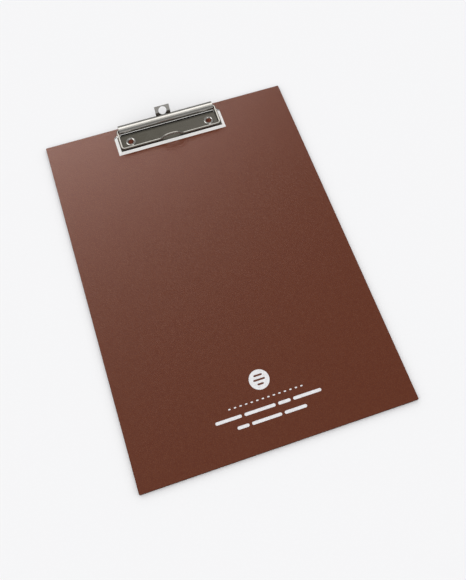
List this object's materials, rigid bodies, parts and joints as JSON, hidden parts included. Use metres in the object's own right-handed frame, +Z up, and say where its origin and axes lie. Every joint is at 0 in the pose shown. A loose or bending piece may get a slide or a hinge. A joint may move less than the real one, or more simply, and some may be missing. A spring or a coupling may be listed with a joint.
{
  "type": "clipboard",
  "caption": "A4 clipboard: a leatherette-covered board with a riveted sheet-metal clip, a sprung lift-up wire bail that holds the paper, and a swinging hanging tab.",
  "frame": {"origin": "middle of the board's underside", "axes": "+X across the board to the right, +Y along the board towards the clip, +Z up out of the writing face"},
  "size_m": [0.222, 0.3185, 0.0151],
  "materials": {
    "leatherette": "satin, fine grain",
    "lining": "matt, fine grain",
    "greyboard": "matt",
    "nickel_plate": "bright nickel",
    "bright_wire": "bright nickel",
    "plain_steel": "drawn"
  },
  "bodies": {
    "board": {"core_board": "greyboard", "front_cover": "leatherette", "back_lining": "lining", "clip_plate": "nickel_plate", "eyelet_left": "nickel_plate", "eyelet_right": "nickel_plate", "washer_left": "plain_steel", "washer_right": "plain_steel", "spring_left": "plain_steel", "spring_right": "plain_steel"},
    "bail": {"wire_bail": "bright_wire"},
    "hanger": {"hanger": "nickel_plate"}
  },
  "joints": [
    {"name": "bail_lift", "type": "hinge", "parent": "board", "child": "bail", "pos_m": [0, 0.1519, 0.0071], "axis": [-1, 0, 0], "range_deg": [0, 100], "stiffness_Nm_per_rad": 0.06, "springref_deg": -143.24},
    {"name": "hanger_swing", "type": "hinge", "parent": "board", "child": "hanger", "pos_m": [0, 0.1519, 0.0071], "axis": [1, 0, 0], "range_deg": [-50, 15]}
  ]
}
